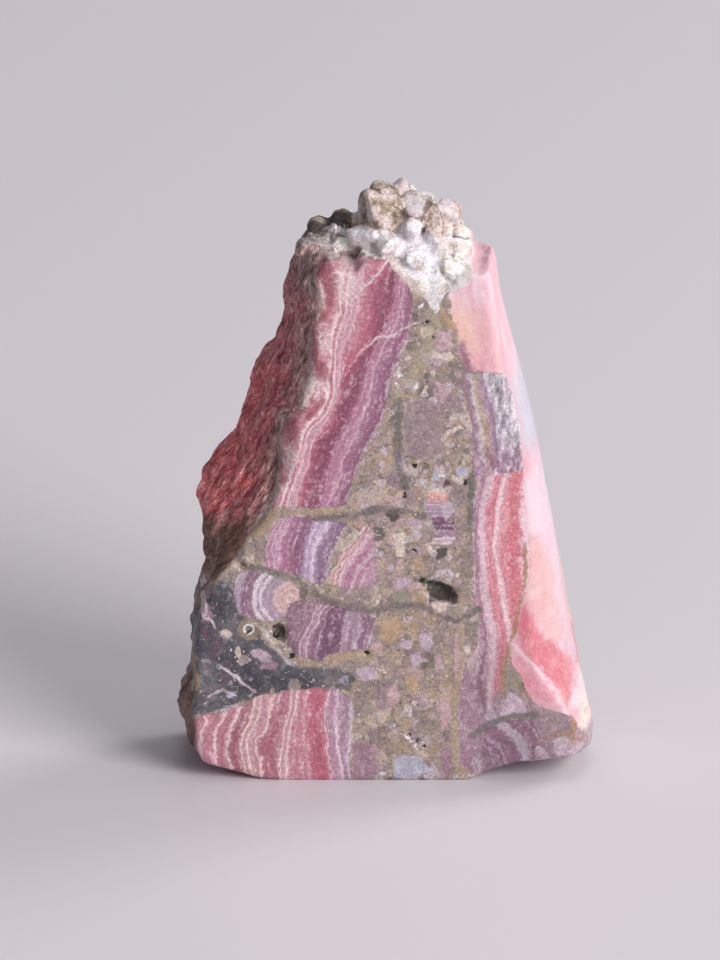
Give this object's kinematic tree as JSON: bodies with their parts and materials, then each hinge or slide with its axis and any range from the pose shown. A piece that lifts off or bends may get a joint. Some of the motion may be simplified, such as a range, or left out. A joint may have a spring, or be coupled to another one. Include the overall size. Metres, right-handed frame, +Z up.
{
  "type": "rhodochrosite slice",
  "caption": "Thick sawn slice of banded pink rhodochrosite in grey breccia, tapering up to a knobbly crust, standing on its flat foot.",
  "frame": {"origin": "on the surface that the slice stands on, under the middle of its bounding box", "axes": "+Z up along the slice, sawn front face looking along -Y, rough broken flank towards -X and smooth flank towards +X"},
  "size_m": [0.062, 0.022, 0.0931],
  "materials": {
    "banded_stone": "sawn, with a rough broken flank"
  },
  "bodies": {
    "root": {"rhodochrosite_slice": "banded_stone"}
  },
  "joints": []
}
